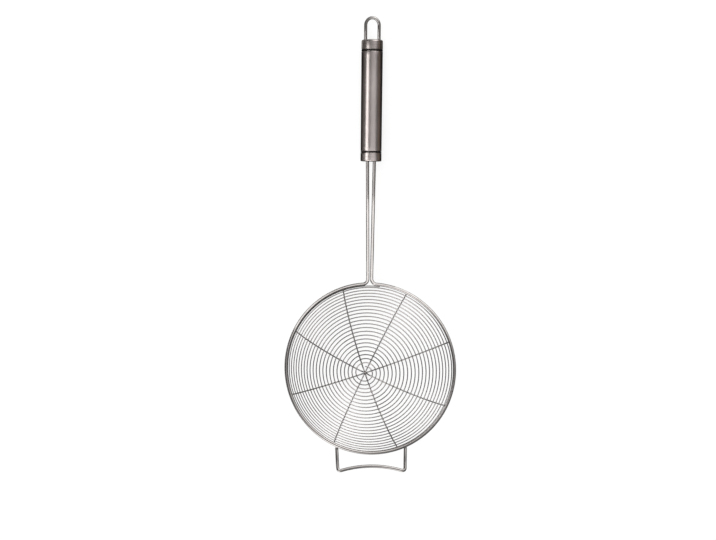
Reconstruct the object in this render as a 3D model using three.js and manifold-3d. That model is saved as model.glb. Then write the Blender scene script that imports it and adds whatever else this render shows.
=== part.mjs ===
// Spiral-wire skimmer: a round bowl of spiral wire on four crossing rib wires, a rim whose wire runs on as
// the neck, a pot rest opposite the neck, and a tubular steel grip with a hanging loop.
// Millimetres, +Z up. The tool is shaped level, with its rim in the plane z = 0, the bowl below and the neck
// along +Y. It is then laid down as it rests on a table, on its ribs and on the far edge of the grip.

import * as THREE from 'three';
import { mergeVertices } from 'three/addons/utils/BufferGeometryUtils.js';
import Module from 'manifold-3d';

// Rim and neck, one bent wire
const RIM_OUTER_DIAMETER = 160;
const RIM_WIRE = 3;
const NECK_ROOT_GAP = 0.6; // between the two legs where they leave the rim
const NECK_ROOT_BEND = 5; // centreline radius of the turn from the rim into a leg
const NECK_RISE = 10; // degrees, from the rim's plane towards the open side
const NECK_RISE_BEND = 20; // centreline radius of that bend
const NECK_LENGTH = 106; // straight, from the bend to the grip
const NECK_GRIP_SPACING = 6.4; // between the legs' centrelines where they enter the grip
const NECK_INSERT = 18; // length of each leg inside the grip

// Bowl
const BOWL_DEPTH = 42; // from the rim's plane to the spiral's centreline at the bottom
const SPIRAL_WIRE = 1;
const SPIRAL_TURNS = 23.02; // ends just past the neck
const SPIRAL_RUNOUT_TURNS = 0.5; // the last part, laid along the rim
const SPIRAL_START_RADIUS = 6;
const SPIRAL_START_ANGLE = 90; // degrees, at the neck side
const SPIRAL_SEAT_ANGLE = 45; // degrees below the rim's plane, on the inside of the rim wire
const RIB_WIRE = 1.2;
const RIB_WIRE_COUNT = 4; // each one makes two ribs
const RIB_TURN = -4; // degrees, of the rib pattern about the bowl's axis

// Pot rest
const REST_WIRE = 3;
const REST_RIM_WIDTH = 63.8; // between the legs' centrelines at the rim
const REST_BAR_WIDTH = 62.2; // between the legs' centrelines at the bar
const REST_KINK_REACH = 6; // from the rim's outer edge to the bend in the legs
const REST_BAR_REACH = 15.5; // from the rim's outer edge to the bar's corners
const REST_RISE = 10; // degrees, of the bend in the legs
const REST_BOW = 5; // by which the bar's middle lies nearer to the rim than its corners
const REST_CORNER = 3.6; // along each side of the rounded corner

// Grip, from the neck outwards
const GRIP_NECK_DIAMETER = 19.5;
const GRIP_END_DIAMETER = 19.9;
const LOWER_CAP_LENGTH = 7.6;
const LOWER_CAP_EDGE = 0.8; // radius of the rounded edge
const RING_WIDTH = 1.4;
const TUBE_LENGTH = 92.2;
const TUBE_WALL = 0.8;
const UPPER_CAP_LENGTH = 8.9;
const UPPER_CAP_EDGE = 1.8;
const SPIGOT_LENGTH = 12; // of each cap inside the tube

// Hanging loop
const LOOP_WIRE = 3;
const LOOP_SPACING = 12.6; // between the legs' centrelines
const LOOP_PROJECTION = 22; // from the cap's end to the top of the loop
const LOOP_ARCH = 7; // height of the arch's centreline
const LOOP_INSERT = 16;

// Clearances
const WELD_GAP = 0.3; // between wires that are welded together
const FIT_GAP = 0.3; // around wires in their holes and spigots in the tube
const SEAT_GAP = 0.3; // between the faces of caps, rings and tube

// Facets
const WIRE_SIDES = 10;
const MESH_WIRE_SIDES = 6;
const LATHE_SEGMENTS = 48;
const RIM_STEPS = 66;
const BEND_STEPS = 5;
const ARCH_STEPS = 12;
const BAR_STEPS = 8;
const RIB_STEP = 7; // longest chord along a rib
const CROSSING_STEPS = 8; // over the crossing of the ribs
const SPIRAL_STEP = 10.5; // longest chord along the spiral
const SPIRAL_MIN_STEPS = 14; // in one turn

const STEEL_WIRE = new THREE.MeshStandardMaterial({ color: 0xb9b4b1, roughness: 0.25, metalness: 1 });
const BRUSHED_STEEL = new THREE.MeshStandardMaterial({ color: 0xa39b98, roughness: 0.42, metalness: 1 });
const BLACK_RUBBER = new THREE.MeshStandardMaterial({ color: 0x141011, roughness: 0.6, metalness: 0 });

const wasm = await Module();
wasm.setup();

const radians = THREE.MathUtils.degToRad;
const point = (x, y, z = 0) => new THREE.Vector3(x, y, z);

// A centreline given by its own points: each point carries one cross-section of the wire.
class Centreline extends THREE.Curve {
  constructor(points) {
    super();
    this.points = points;
  }

  getPointAt(u) {
    return this.points[Math.round(u * (this.points.length - 1))].clone();
  }

  getTangentAt(u) {
    const last = this.points.length - 1;
    const index = Math.round(u * last);
    const before = this.points[Math.max(index - 1, 0)];
    const after = this.points[Math.min(index + 1, last)];
    return after.clone().sub(before).normalize();
  }
}

// Points of an arc in a plane spanned by two unit vectors
function arcPoints(centre, radius, from, to, steps, across = point(1, 0), up = point(0, 1)) {
  return Array.from({ length: steps + 1 }, (_, step) => {
    const angle = THREE.MathUtils.lerp(from, to, step / steps);
    return centre
      .clone()
      .addScaledVector(across, radius * Math.cos(angle))
      .addScaledVector(up, radius * Math.sin(angle));
  });
}

// One centreline out of stretches that meet end to end: a shared point is kept once.
function chain(...stretches) {
  return stretches.reduce((path, stretch) => path.concat(stretch.slice(1)));
}

function polygon(radius, sides) {
  const corner = (_, side) => {
    const angle = (2 * Math.PI * side) / sides;
    return new THREE.Vector2(radius * Math.cos(angle), radius * Math.sin(angle));
  };
  return new THREE.Shape(Array.from({ length: sides }, corner));
}

// Round wire along a centreline
function wireGeometry(points, diameter, sides = WIRE_SIDES) {
  const options = { steps: points.length - 1, extrudePath: new Centreline(points) };
  return closedGeometry(new THREE.ExtrudeGeometry(polygon(diameter / 2, sides), options));
}

// Turned piece: the profile runs from axis to axis, or closes on itself.
function turnedGeometry(profile) {
  const corners = profile.map(([radius, height]) => new THREE.Vector2(radius, height));
  return closedGeometry(new THREE.LatheGeometry(corners, LATHE_SEGMENTS));
}

function closedGeometry(geometry) {
  geometry.deleteAttribute('normal');
  geometry.deleteAttribute('uv');
  const merged = mergeVertices(geometry, 1e-4);
  dropSlivers(merged);
  if (enclosedVolume(merged) < 0) turnInsideOut(merged);
  merged.computeVertexNormals();
  return merged;
}

// Triangles that lost a side when their corners were merged, as at the axis of a turned piece
function dropSlivers(geometry) {
  const index = geometry.index.array;
  const kept = [];
  for (let i = 0; i < index.length; i += 3) {
    const [a, b, c] = index.slice(i, i + 3);
    if (a !== b && b !== c && c !== a) kept.push(a, b, c);
  }
  geometry.setIndex(kept);
}

function enclosedVolume(geometry) {
  const { index, attributes } = geometry;
  const [a, b, c] = [point(0, 0), point(0, 0), point(0, 0)];
  let volume = 0;
  for (let i = 0; i < index.count; i += 3) {
    a.fromBufferAttribute(attributes.position, index.getX(i));
    b.fromBufferAttribute(attributes.position, index.getX(i + 1));
    c.fromBufferAttribute(attributes.position, index.getX(i + 2));
    volume += a.dot(b.cross(c)) / 6;
  }
  return volume;
}

function turnInsideOut(geometry) {
  const index = geometry.index.array;
  for (let i = 0; i < index.length; i += 3) [index[i], index[i + 1]] = [index[i + 1], index[i]];
}

function toSolid(geometry) {
  const mesh = new wasm.Mesh({
    numProp: 3,
    vertProperties: new Float32Array(geometry.attributes.position.array),
    triVerts: new Uint32Array(geometry.index.array),
  });
  return new wasm.Manifold(mesh);
}

function cutGeometry(body, tools) {
  const solid = tools.reduce((left, tool) => left.subtract(toSolid(tool)), toSolid(body));
  const { vertProperties, triVerts } = solid.getMesh();
  const geometry = new THREE.BufferGeometry();
  geometry.setAttribute('position', new THREE.BufferAttribute(vertProperties, 3));
  geometry.setIndex(new THREE.BufferAttribute(triVerts, 1));
  geometry.computeVertexNormals();
  return geometry;
}

function piece(name, geometry, material) {
  const mesh = new THREE.Mesh(geometry, material);
  mesh.name = name;
  return mesh;
}

// Rim and neck
const rimRadius = (RIM_OUTER_DIAMETER - RIM_WIRE) / 2;
const legRootX = (RIM_WIRE + NECK_ROOT_GAP) / 2;
const rootBendX = legRootX + NECK_ROOT_BEND;
const rootBendY = Math.sqrt((rimRadius + NECK_ROOT_BEND) ** 2 - rootBendX ** 2);
const rootBendAngle = Math.atan2(rootBendY, rootBendX);
const rise = radians(NECK_RISE);

// The neck's own frame starts where the rise bend ends, with the neck and the grip along its +Y.
const handle = new THREE.Group();
handle.position.set(0, rootBendY + NECK_RISE_BEND * Math.sin(rise), NECK_RISE_BEND * (1 - Math.cos(rise)));
handle.rotation.x = rise;
handle.updateMatrix();

// One leg's straight stretch in the neck's frame: it leaves its neighbour on the way to the grip.
function straightLeg(side, overrun = 0) {
  const spread = (NECK_GRIP_SPACING / 2 - legRootX) / NECK_LENGTH;
  const end = NECK_LENGTH + NECK_INSERT + overrun;
  return [point(side * legRootX, 0), point(side * (legRootX + spread * end), end)];
}

// One leg from the rim to its end in the grip
function legPath(side) {
  const across = point(side, 0);
  const rootCentre = point(side * rootBendX, rootBendY);
  const rootBend = arcPoints(rootCentre, NECK_ROOT_BEND, -Math.PI + rootBendAngle, -Math.PI, BEND_STEPS, across);
  const riseCentre = point(side * legRootX, rootBendY, NECK_RISE_BEND);
  const riseBend = arcPoints(riseCentre, NECK_RISE_BEND, 0, rise, BEND_STEPS, point(0, 0, -1), point(0, 1));
  const straight = straightLeg(side).map((end) => end.applyMatrix4(handle.matrix));
  return chain(rootBend, riseBend, straight);
}

function rimNeckPath() {
  const ring = arcPoints(point(0, 0), rimRadius, rootBendAngle, -Math.PI - rootBendAngle, RIM_STEPS);
  return chain(legPath(1).reverse(), ring, legPath(-1));
}

// Bowl: the spiral lies on a sphere that meets the bowl's bottom and the spiral's seat on the rim.
const seatReach = (RIM_WIRE + SPIRAL_WIRE) / 2 + WELD_GAP;
const seatRadius = rimRadius - seatReach * Math.cos(radians(SPIRAL_SEAT_ANGLE));
const seatDepth = seatReach * Math.sin(radians(SPIRAL_SEAT_ANGLE));
const bowlHeight = BOWL_DEPTH - seatDepth;
const spiralSphere = (seatRadius ** 2 + bowlHeight ** 2) / (2 * bowlHeight);
const sphereHeight = spiralSphere - BOWL_DEPTH;

// Point of a sphere about the bowl's centre, at an arc from the bottom and an angle about the axis
function bowlPoint(sphere, arc, azimuth) {
  const fall = arc / sphere;
  const reach = sphere * Math.sin(fall);
  return point(reach * Math.cos(azimuth), reach * Math.sin(azimuth), sphereHeight - sphere * Math.cos(fall));
}

const seatArc = spiralSphere * Math.atan2(seatRadius, sphereHeight + seatDepth);
const spiralStartArc = spiralSphere * Math.asin(SPIRAL_START_RADIUS / spiralSphere);
const spiralPitch = (seatArc - spiralStartArc) / (SPIRAL_TURNS - SPIRAL_RUNOUT_TURNS);

// Seen from the open side the spiral runs outwards clockwise.
function spiralPoint(turn) {
  const arc = Math.min(spiralStartArc + spiralPitch * turn, seatArc);
  return bowlPoint(spiralSphere, arc, radians(SPIRAL_START_ANGLE) - 2 * Math.PI * turn);
}

function spiralPath() {
  const points = [];
  let turn = 0;
  while (turn < SPIRAL_TURNS) {
    const here = spiralPoint(turn);
    points.push(here);
    const steps = Math.max((2 * Math.PI * Math.hypot(here.x, here.y)) / SPIRAL_STEP, SPIRAL_MIN_STEPS);
    turn += 1 / steps;
  }
  points.push(spiralPoint(SPIRAL_TURNS));
  return points;
}

// Least gap between neighbouring turns, measured on points of the spiral
function spiralGap() {
  const pointsPerTurn = 90;
  let least = Infinity;
  for (let step = 0; step <= (SPIRAL_TURNS - 1) * pointsPerTurn; step += 1) {
    const turn = step / pointsPerTurn;
    least = Math.min(least, spiralPoint(turn).distanceTo(spiralPoint(turn + 1)));
  }
  return least - SPIRAL_WIRE;
}

console.log(`spiral_wire: least gap between its turns ${spiralGap().toFixed(2)} mm`);

// Ribs lie outside the spiral, on a larger sphere, and end below the rim wire.
const ribSphere = spiralSphere + (SPIRAL_WIRE + RIB_WIRE) / 2 + WELD_GAP;
const rimDistance = Math.hypot(rimRadius, sphereHeight);
const ribEndSetback = Math.sqrt((RIM_WIRE / 2 + WELD_GAP) ** 2 - (ribSphere - RIB_WIRE / 2 - rimDistance) ** 2);
const ribEndArc = ribSphere * Math.atan2(rimRadius, sphereHeight) - ribEndSetback;
const crossingArc = SPIRAL_START_RADIUS - SPIRAL_WIRE / 2;
const crossingStep = RIB_WIRE + WELD_GAP;

// At the crossing the rib wires lie on each other, inside the first turn of the spiral.
function ribPath(number) {
  const azimuth = radians(RIB_TURN) + ((number + 0.5) * Math.PI) / RIB_WIRE_COUNT;
  const level = (number - 1) * crossingStep;
  const rib = (arc) => {
    const lift = Math.abs(arc) < crossingArc ? level * Math.cos((Math.PI * arc) / crossingArc / 2) ** 2 : 0;
    return bowlPoint(ribSphere, arc, azimuth).add(point(0, 0, lift));
  };
  const stretch = (from, to, steps) =>
    Array.from({ length: steps + 1 }, (_, step) => rib(THREE.MathUtils.lerp(from, to, step / steps)));
  const armSteps = Math.ceil((ribEndArc - crossingArc) / RIB_STEP);
  return chain(
    stretch(-ribEndArc, -crossingArc, armSteps),
    stretch(-crossingArc, crossingArc, CROSSING_STEPS),
    stretch(crossingArc, ribEndArc, armSteps),
  );
}

// Pot rest: its legs end at the underside of the rim, clear of the ribs' ends.
const ribEnd = bowlPoint(ribSphere, ribEndArc, 0);
const restEndRadius = ribEnd.x + RIB_WIRE / 2 + WELD_GAP;
const restHeight = -(RIM_WIRE + REST_WIRE) / 2 - WELD_GAP;

// Outward reach from the rim's outer edge, laid out along the bent legs
function restPoint(x, reach) {
  const beyond = Math.max(reach - REST_KINK_REACH, 0);
  const slope = radians(REST_RISE);
  const out = RIM_OUTER_DIAMETER / 2 + reach - beyond * (1 - Math.cos(slope));
  return point(x, -out, restHeight + beyond * Math.sin(slope));
}

function restPath() {
  const legX = REST_RIM_WIDTH / 2;
  const barX = REST_BAR_WIDTH / 2;
  const innerCorner = legX - REST_WIRE / 2;
  const endReach = Math.sqrt(restEndRadius ** 2 - innerCorner ** 2) - RIM_OUTER_DIAMETER / 2;
  const barAt = (x) => restPoint(x, REST_BAR_REACH - REST_BOW * (1 - (x / barX) ** 2));
  const kinkX = THREE.MathUtils.mapLinear(REST_KINK_REACH, endReach, REST_BAR_REACH, legX, barX);
  const cornerX = THREE.MathUtils.mapLinear(REST_BAR_REACH - REST_CORNER, endReach, REST_BAR_REACH, legX, barX);
  const leg = (side) => [
    restPoint(side * legX, endReach),
    restPoint(side * kinkX, REST_KINK_REACH),
    restPoint(side * cornerX, REST_BAR_REACH - REST_CORNER),
  ];
  const corner = (side) => {
    const start = restPoint(side * cornerX, REST_BAR_REACH - REST_CORNER);
    const curve = new THREE.QuadraticBezierCurve3(start, barAt(side * barX), barAt(side * (barX - REST_CORNER)));
    return curve.getPoints(BEND_STEPS);
  };
  const bar = Array.from({ length: BAR_STEPS + 1 }, (_, step) =>
    barAt(THREE.MathUtils.lerp(barX - REST_CORNER, REST_CORNER - barX, step / BAR_STEPS)),
  );
  return chain(leg(1), corner(1), bar, corner(-1).reverse(), leg(-1).reverse());
}

// Grip, along +Y of the neck's frame
const ringSpace = SEAT_GAP + RING_WIDTH + SEAT_GAP;
const lowerFace = NECK_LENGTH;
const tubeStart = lowerFace + LOWER_CAP_LENGTH + ringSpace;
const tubeEnd = tubeStart + TUBE_LENGTH;
const upperSeat = tubeEnd + ringSpace;
const upperFace = upperSeat + UPPER_CAP_LENGTH;
const neckRadius = GRIP_NECK_DIAMETER / 2;
const endRadius = GRIP_END_DIAMETER / 2;
const gripRadius = (height) => THREE.MathUtils.mapLinear(height, tubeStart, tubeEnd, neckRadius, endRadius);

// A spigot clears the tube's bore at its narrower end.
function spigotRadius(tubeMouth, spigotTip) {
  return Math.min(gripRadius(tubeMouth), gripRadius(spigotTip)) - TUBE_WALL - FIT_GAP;
}

const lowerSpigotTip = tubeStart + SPIGOT_LENGTH;
const upperSpigotTip = tubeEnd - SPIGOT_LENGTH;
const lowerSpigot = spigotRadius(tubeStart, lowerSpigotTip);
const upperSpigot = spigotRadius(tubeEnd, upperSpigotTip);

// Profile of a cap's rounded edge, from its face to its side
function roundedEdge(radius, face, edge, inward) {
  const centre = point(radius - edge, face + inward * edge);
  const arc = arcPoints(centre, edge, -Math.PI / 2, 0, BEND_STEPS, point(1, 0), point(0, inward));
  return arc.map(({ x, y }) => [x, y]);
}

function capGeometry(radius, face, seat, edge, spigot, spigotTip, holes) {
  const inward = Math.sign(seat - face);
  const profile = [
    [0, face],
    ...roundedEdge(radius, face, edge, inward),
    [radius, seat],
    [spigot, seat],
    [spigot, spigotTip],
    [0, spigotTip],
  ];
  return cutGeometry(turnedGeometry(profile), holes);
}

function ringGeometry(start, spigot) {
  const inner = spigot + FIT_GAP;
  const [low, high] = [start, start + RING_WIDTH];
  const outer = THREE.MathUtils.clamp(gripRadius(low), neckRadius, endRadius);
  return turnedGeometry([[inner, low], [outer, low], [outer, high], [inner, high], [inner, low]]);
}

function tubeGeometry() {
  const bore = (height) => gripRadius(height) - TUBE_WALL;
  return turnedGeometry([
    [bore(tubeStart), tubeStart],
    [neckRadius, tubeStart],
    [endRadius, tubeEnd],
    [bore(tubeEnd), tubeEnd],
    [bore(tubeStart), tubeStart],
  ]);
}

function loopLeg(side, overrun = 0) {
  const archStart = upperFace + LOOP_PROJECTION - LOOP_WIRE / 2 - LOOP_ARCH;
  return [point((side * LOOP_SPACING) / 2, upperFace - LOOP_INSERT - overrun), point((side * LOOP_SPACING) / 2, archStart)];
}

function loopPath() {
  const archCentre = point(0, loopLeg(1)[1].y);
  const flatten = LOOP_ARCH / (LOOP_SPACING / 2);
  const arch = arcPoints(archCentre, LOOP_SPACING / 2, 0, Math.PI, ARCH_STEPS, point(1, 0), point(0, flatten));
  return chain(loopLeg(1), arch, loopLeg(-1).reverse());
}

// Holes follow the wires that they hold, with a clearance around and past the end of each wire.
const neckHoles = [1, -1].map((side) => wireGeometry(straightLeg(side, FIT_GAP), RIM_WIRE + 2 * FIT_GAP));
const loopHoles = [1, -1].map((side) => wireGeometry(loopLeg(side, FIT_GAP), LOOP_WIRE + 2 * FIT_GAP));

const lowerSeat = lowerFace + LOWER_CAP_LENGTH;
handle.add(
  piece(
    'lower_cap',
    capGeometry(neckRadius, lowerFace, lowerSeat, LOWER_CAP_EDGE, lowerSpigot, lowerSpigotTip, neckHoles),
    BRUSHED_STEEL,
  ),
  piece('lower_ring', ringGeometry(lowerSeat + SEAT_GAP, lowerSpigot), BLACK_RUBBER),
  piece('grip_tube', tubeGeometry(), BRUSHED_STEEL),
  piece('upper_ring', ringGeometry(tubeEnd + SEAT_GAP, upperSpigot), BLACK_RUBBER),
  piece(
    'upper_cap',
    capGeometry(endRadius, upperFace, upperSeat, UPPER_CAP_EDGE, upperSpigot, upperSpigotTip, loopHoles),
    BRUSHED_STEEL,
  ),
  piece('hang_loop', wireGeometry(loopPath(), LOOP_WIRE), STEEL_WIRE),
);

const bowl = new THREE.Group();
bowl.add(
  piece('rim_neck_wire', wireGeometry(rimNeckPath(), RIM_WIRE), STEEL_WIRE),
  piece('spiral_wire', wireGeometry(spiralPath(), SPIRAL_WIRE, MESH_WIRE_SIDES), STEEL_WIRE),
  piece('pot_rest_wire', wireGeometry(restPath(), REST_WIRE), STEEL_WIRE),
);
for (let number = 0; number < RIB_WIRE_COUNT; number += 1) {
  const rib = wireGeometry(ribPath(number), RIB_WIRE, MESH_WIRE_SIDES);
  bowl.add(piece(`rib_wire_${number + 1}`, rib, STEEL_WIRE));
}

const tool = new THREE.Group();
tool.add(bowl, handle);

// Rest on a table: the tool tips about the X axis until the bowl and the grip lie equally low.
function lowestPoint(part, tip) {
  tool.rotation.x = -tip;
  tool.updateMatrixWorld(true);
  return new THREE.Box3().setFromObject(part, true).min.z;
}

function restingTip() {
  let [low, high] = [0, Math.PI / 4];
  const halvings = 40;
  for (let step = 0; step < halvings; step += 1) {
    const middle = (low + high) / 2;
    if (lowestPoint(handle, middle) > lowestPoint(bowl, middle)) low = middle;
    else high = middle;
  }
  return (low + high) / 2;
}

tool.rotation.x = -restingTip();
tool.updateMatrixWorld(true);
const extent = new THREE.Box3().setFromObject(tool, true);
const middle = extent.getCenter(point(0, 0));
tool.position.set(-middle.x, -middle.y, -extent.min.z);

const strainer = new THREE.Group();
strainer.add(tool);
export default strainer;
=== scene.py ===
"""Spiral-wire strainer: drawn steel wires, a brushed grip and the plain studio that it is seen in.

Shapes are worked out in millimetres in the level frame, where the rim lies in the plane z = 0, the bowl
hangs below it and the neck runs along +Y, and are then laid down as the strainer rests on a table. The studio
is in metres.
"""

from __future__ import annotations

import logging
import math
from dataclasses import dataclass, field
from enum import Enum
from itertools import accumulate, pairwise
from typing import Any, Iterable, Sequence

import bmesh
import bpy
from mathutils import Matrix, Vector

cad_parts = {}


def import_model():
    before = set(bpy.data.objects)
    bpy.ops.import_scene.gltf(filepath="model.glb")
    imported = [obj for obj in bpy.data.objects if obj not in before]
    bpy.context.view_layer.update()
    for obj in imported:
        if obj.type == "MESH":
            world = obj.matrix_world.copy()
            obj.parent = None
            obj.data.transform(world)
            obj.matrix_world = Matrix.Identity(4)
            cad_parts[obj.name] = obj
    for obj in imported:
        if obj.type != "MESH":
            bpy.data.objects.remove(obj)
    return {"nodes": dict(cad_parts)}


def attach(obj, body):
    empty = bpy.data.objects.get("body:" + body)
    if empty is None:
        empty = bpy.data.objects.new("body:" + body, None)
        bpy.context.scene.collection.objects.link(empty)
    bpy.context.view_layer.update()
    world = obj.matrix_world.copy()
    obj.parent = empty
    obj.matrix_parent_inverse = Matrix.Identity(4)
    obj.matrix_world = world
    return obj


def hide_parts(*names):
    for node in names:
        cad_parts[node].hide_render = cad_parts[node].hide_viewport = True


LOG = logging.getLogger("strainer")
BODY = "root"
MILLIMETRE = 0.001
METRES = Matrix.Scale(MILLIMETRE, 4)
PHOTO_WIDTH = 716
FULL_TURN = 2 * math.pi
WIRE_ATTRIBUTE = "drawn"
STRETCH_SECTIONS = 60
MERGE_DISTANCE = 0.01  # millimetres
END_ROUNDING = 0.14  # share of a wire's diameter
HARD_EDGE_DEGREES = 35
ROUND_FACE_CORNERS = 4  # a face with more is flat
BUMP_DISTANCE = 0.0001  # metres

Mesh = bmesh.types.BMesh
Profile = list[tuple[float, float]]
Triple = tuple[float, float, float]


class Lay(Enum):
    """What a grain follows."""

    OBJECT = "object"
    WIRE = "wire"


class Slot(Enum):
    """The record's material slots."""

    FRAME_WIRE = "frame_wire"
    MESH_WIRE = "mesh_wire"
    TUBE = "brushed_tube"
    CAP = "turned_cap"
    RING = "black_ring"


# Centrelines


def lerp(start: float, end: float, share: float) -> float:
    """Returns the number at that share of the way from start to end."""
    return start + (end - start) * share


def arc_points(
    centre: Vector, across: Vector, up: Vector, start: float, end: float, steps: int
) -> list[Vector]:
    """Places points along an arc.

    Args:
        centre: middle of the arc.
        across: direction of angle zero, as long as the radius.
        up: direction of a quarter turn, as long as the radius there.
        start: first angle, in radians.
        end: last angle, in radians.
        steps: number of chords.

    Returns:
        The points, both ends included.
    """
    angles = (lerp(start, end, step / steps) for step in range(steps + 1))
    return [centre + across * math.cos(angle) + up * math.sin(angle) for angle in angles]


def chain(*stretches: Sequence[Vector]) -> list[Vector]:
    """Joins stretches that meet end to end.

    Args:
        stretches: each starts at the last point of the one before.

    Returns:
        One path, with each shared point kept once.
    """
    path = list(stretches[0])
    for stretch in stretches[1:]:
        path.extend(stretch[1:])
    return path


def mirrored(path: Sequence[Vector]) -> list[Vector]:
    """Returns the path on the other side of the plane x = 0, run through from its other end."""
    return [Vector((-place.x, place.y, place.z)) for place in reversed(path)]


def section_places(path: Sequence[Vector]) -> list[Matrix]:
    """Sets a cross-section square to the path at each of its points, without twist.

    Args:
        path: the wire's centreline.

    Returns:
        One matrix for each point, with Z along the wire.
    """
    last = len(path) - 1
    side = (path[1] - path[0]).orthogonal()
    places = []
    for index, place in enumerate(path):
        heading = (path[min(index + 1, last)] - path[max(index - 1, 0)]).normalized()
        side = (side - heading * side.dot(heading)).normalized()
        turn = Matrix((side, heading.cross(side), heading)).transposed()
        places.append(Matrix.Translation(place) @ turn.to_4x4())
    return places


# Meshes


def wire_stretch(places: Sequence[Matrix], marks: Sequence[float], radius: float, sides: int) -> Mesh:
    """Carries a round section through a short row of places.

    Args:
        places: one matrix for each section.
        marks: length of wire up to each section, kept with the way round it as the attribute "drawn".
        radius: of the wire.
        sides: of the section.

    Returns:
        A tube with open ends.
    """
    mesh = bmesh.new()
    drawn = mesh.verts.layers.float_vector.new(WIRE_ATTRIBUTE)
    bmesh.ops.create_circle(mesh, cap_ends=False, radius=radius, segments=sides)
    for corner in mesh.verts:
        corner[drawn] = (corner.co.x, corner.co.y, marks[0])
    bmesh.ops.transform(mesh, matrix=places[0], verts=mesh.verts)
    ring = list(mesh.edges)
    for before, after, mark in zip(places, places[1:], marks[1:]):
        grown = bmesh.ops.extrude_edge_only(mesh, edges=ring)["geom"]
        corners = [part for part in grown if isinstance(part, bmesh.types.BMVert)]
        bmesh.ops.transform(mesh, matrix=after @ before.inverted(), verts=corners)
        for corner in corners:
            corner[drawn].z = mark
        edges = [part for part in grown if isinstance(part, bmesh.types.BMEdge)]
        fresh = set(corners)
        ring = [edge for edge in edges if fresh.issuperset(edge.verts)]
    return mesh


def drawn_wire(path: Sequence[Vector], diameter: float, sides: int) -> Mesh:
    """Carries a round section along a path and rounds off the two cut ends.

    A long wire is made in short stretches, because an extrusion slows down as its mesh grows.

    Args:
        path: the centreline.
        diameter: of the wire.
        sides: of the section.

    Returns:
        The wire's mesh.
    """
    places = section_places(path)
    marks = list(accumulate(((b - a).length for a, b in pairwise(path)), initial=0.0))
    mesh = bmesh.new()
    for start in range(0, len(path) - 1, STRETCH_SECTIONS):
        part = slice(start, start + STRETCH_SECTIONS + 1)
        data = bpy.data.meshes.new("stretch")
        stretch = wire_stretch(places[part], marks[part], diameter / 2, sides)
        stretch.to_mesh(data)
        stretch.free()
        mesh.from_mesh(data)
        bpy.data.meshes.remove(data)
    bmesh.ops.remove_doubles(mesh, verts=mesh.verts, dist=MERGE_DISTANCE)
    ends = [edge for edge in mesh.edges if edge.is_boundary]
    bmesh.ops.holes_fill(mesh, edges=ends, sides=0)
    bmesh.ops.recalc_face_normals(mesh, faces=mesh.faces)
    rounding = diameter * END_ROUNDING
    bmesh.ops.bevel(
        mesh, geom=ends, offset=rounding, segments=2, profile=0.5, affect="EDGES", material=-1
    )
    return mesh


def turned(profile: Profile, segments: int) -> Mesh:
    """Spins a profile of radii and heights round the Y axis.

    Args:
        profile: corners that run from axis to axis or close on themselves.
        segments: steps of the full turn.

    Returns:
        The closed mesh.
    """
    mesh = bmesh.new()
    corners = [mesh.verts.new((radius, height, 0)) for radius, height in profile]
    sides = [mesh.edges.new(pair) for pair in pairwise(corners)]
    bmesh.ops.spin(
        mesh,
        geom=corners + sides,
        cent=(0, 0, 0),
        axis=(0, 1, 0),
        angle=FULL_TURN,
        steps=segments,
        use_merge=True,
    )
    bmesh.ops.remove_doubles(mesh, verts=mesh.verts, dist=MERGE_DISTANCE)
    bmesh.ops.recalc_face_normals(mesh, faces=mesh.faces)
    return mesh


def rounded_corner(radius: float, height: float, edge: float, inward: float, steps: int) -> Profile:
    """Profile of a rounded outer edge, from the end face to the side.

    Args:
        radius: of the side.
        height: of the end face.
        edge: radius of the rounding.
        inward: 1 or -1, from the end face into the piece.
        steps: number of chords.

    Returns:
        Radii and heights.
    """
    centre = Vector((radius - edge, height + inward * edge, 0))
    across = Vector((edge, 0, 0))
    up = Vector((0, inward * edge, 0))
    return [(place.x, place.y) for place in arc_points(centre, across, up, -math.pi / 2, 0, steps)]


def mesh_object(name: str, mesh: Mesh) -> bpy.types.Object:
    """Makes a linked object from a mesh.

    Args:
        name: of the object and its data.
        mesh: its shape, which is used up.

    Returns:
        The object, at the origin.
    """
    data = bpy.data.meshes.new(name)
    mesh.to_mesh(data)
    mesh.free()
    thing = bpy.data.objects.new(name, data)
    bpy.context.scene.collection.objects.link(thing)
    return thing


def drilled(body: Mesh, drills: Iterable[Mesh]) -> Mesh:
    """Cuts holes into a mesh.

    Args:
        body: what is drilled.
        drills: what is taken out of it.

    Returns:
        A new mesh with the holes.
    """
    blank = mesh_object("blank", body)
    tools = [mesh_object("drill", drill) for drill in drills]
    for tool in tools:
        cut = blank.modifiers.new("hole", "BOOLEAN")
        cut.operation = "DIFFERENCE"
        cut.solver = "EXACT"
        cut.object = tool
    bpy.context.view_layer.update()
    shaped = blank.evaluated_get(bpy.context.evaluated_depsgraph_get())
    result = bmesh.new()
    result.from_mesh(shaped.to_mesh())
    for used in (blank, *tools):
        data = used.data
        bpy.data.objects.remove(used)
        bpy.data.meshes.remove(data)
    return result


def piece(
    name: str,
    mesh: Mesh,
    place: Matrix,
    finish: bpy.types.Material,
    nodes: Sequence[str] = (),
) -> bpy.types.Object:
    """Puts a mesh in its place, smooths and dresses it and ties it to the body.

    Args:
        name: of the piece.
        mesh: its shape, in millimetres.
        place: from the mesh's own frame to the rest frame, in millimetres.
        finish: its material.
        nodes: the solids that it stands for.

    Returns:
        The object.
    """
    bmesh.ops.transform(mesh, matrix=METRES @ place, verts=mesh.verts)
    for face in mesh.faces:
        face.smooth = len(face.verts) <= ROUND_FACE_CORNERS
    for edge in mesh.edges:
        edge.smooth = edge.calc_face_angle(0.0) < math.radians(HARD_EDGE_DEGREES)
    thing = mesh_object(name, mesh)
    thing.data.materials.append(finish)
    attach(thing, BODY)
    if nodes:
        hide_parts(*nodes)
    LOG.info("%s: %d faces", name, len(thing.data.polygons))
    return thing


# Materials


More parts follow.
